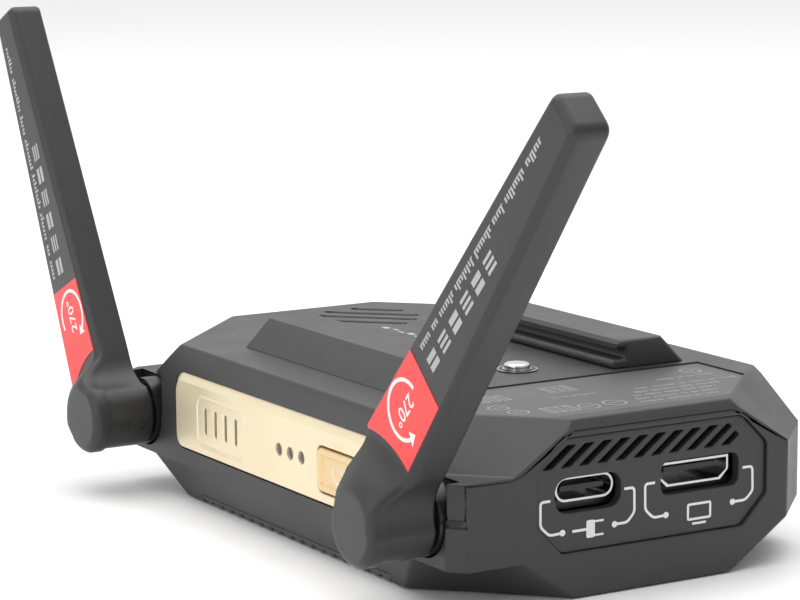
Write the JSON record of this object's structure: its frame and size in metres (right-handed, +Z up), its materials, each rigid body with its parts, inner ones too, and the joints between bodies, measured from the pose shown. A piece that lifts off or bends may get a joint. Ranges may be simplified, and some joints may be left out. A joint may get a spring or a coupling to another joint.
{
  "type": "wireless receiver unit",
  "caption": "Pocket wireless receiver: faceted casing with two folding blade antennas, sprung lock pin in a mount channel, status lights, power button and end ports.",
  "frame": {"origin": "middle of the flat base face of the casing", "axes": "+X along the length towards the port end, -Y the front with the antennas, +Z up through the mount channel"},
  "size_m": [0.1587, 0.0715, 0.0695],
  "materials": {
    "shell_grey": "finely textured dark grey moulding",
    "antenna_grey": "satin dark grey moulding",
    "red_sticker": "printed vinyl",
    "radiator_brass": "stamped",
    "clip_plastic": "plain",
    "pivot_steel": "turned",
    "pivot_black": "satin",
    "champagne": "anodised, fine blast",
    "light_guide_clear": "smoky, moulded",
    "board_green": "solder mask",
    "chip_black": "moulded package",
    "led_white": "moulded",
    "port_steel": "plated sheet",
    "port_tongue": "moulded",
    "pin_steel": "turned and polished",
    "spring_steel": "drawn wire",
    "screw_steel": "zinc plated",
    "label_film": "printed film",
    "heat_aluminium": "extruded",
    "battery_wrap": "heat-shrink wrap",
    "grip_rubber": "moulded ribs",
    "coax_jacket": "extruded jacket"
  },
  "bodies": {
    "casing": {"battery_pack": "battery_wrap", "battery_pads": "clip_plastic", "board_screws": "screw_steel", "bottom_shell": "shell_grey", "button_board": "board_green", "case_screws": "screw_steel", "coax_lead_left": "coax_jacket", "coax_lead_right": "coax_jacket", "coax_socket_left": "port_steel", "coax_socket_right": "port_steel", "front_plate": "champagne", "grip_strip": "grip_rubber", "hdmi_shell": "port_steel", "hdmi_tongue": "port_tongue", "heat_sink": "heat_aluminium", "info_label": "label_film", "level_light_guide": "light_guide_clear", "lock_pin_spring": "spring_steel", "main_board": "board_green", "mount_rail_front": "shell_grey", "mount_rail_rear": "shell_grey", "pin_collar": "pin_steel", "pin_spring_cup": "clip_plastic", "pivot_seat_left": "pivot_black", "pivot_seat_right": "pivot_black", "port_panel": "shell_grey", "radio_chip": "chip_black", "radio_shield": "port_steel", "rail_screws": "screw_steel", "status_leds": "led_white", "status_light_pipes": "light_guide_clear", "tact_switch": "chip_black", "top_shell": "shell_grey", "usb_shell": "port_steel", "usb_tongue": "port_tongue", "video_chip": "chip_black"},
    "antenna_left": {"antenna_left_arm": "antenna_grey", "antenna_left_back_cover": "antenna_grey", "antenna_left_element": "radiator_brass", "antenna_left_element_clips": "clip_plastic", "antenna_left_sticker": "red_sticker", "antenna_left_shaft": "pivot_steel", "antenna_left_retaining_ring": "pivot_steel", "antenna_left_friction_washer": "pivot_steel"},
    "antenna_right": {"antenna_right_arm": "antenna_grey", "antenna_right_back_cover": "antenna_grey", "antenna_right_element": "radiator_brass", "antenna_right_element_clips": "clip_plastic", "antenna_right_sticker": "red_sticker", "antenna_right_shaft": "pivot_steel", "antenna_right_retaining_ring": "pivot_steel", "antenna_right_friction_washer": "pivot_steel"},
    "power_button": {"power_button": "champagne"},
    "lock_pin": {"lock_pin": "pin_steel"}
  },
  "joints": [
    {"name": "antenna_left_fold", "type": "hinge", "parent": "casing", "child": "antenna_left", "pos_m": [-0.03965, -0.031, 0.0115], "axis": [0, -1, 0], "range_deg": [-115, 155]},
    {"name": "antenna_right_fold", "type": "hinge", "parent": "casing", "child": "antenna_right", "pos_m": [0.03965, -0.031, 0.0115], "axis": [0, -1, 0], "range_deg": [-136.8, 133.2]},
    {"name": "power_button_press", "type": "slide", "parent": "casing", "child": "power_button", "axis": [0, 1, 0], "range_m": [0, 0.0005], "stiffness_N_per_m": 800, "springref_m": -0.0005},
    {"name": "lock_pin_press", "type": "slide", "parent": "casing", "child": "lock_pin", "axis": [0, 0, -1], "range_m": [0, 0.0008], "stiffness_N_per_m": 800, "springref_m": -0.001, "deforming": ["lock_pin_spring"]}
  ]
}
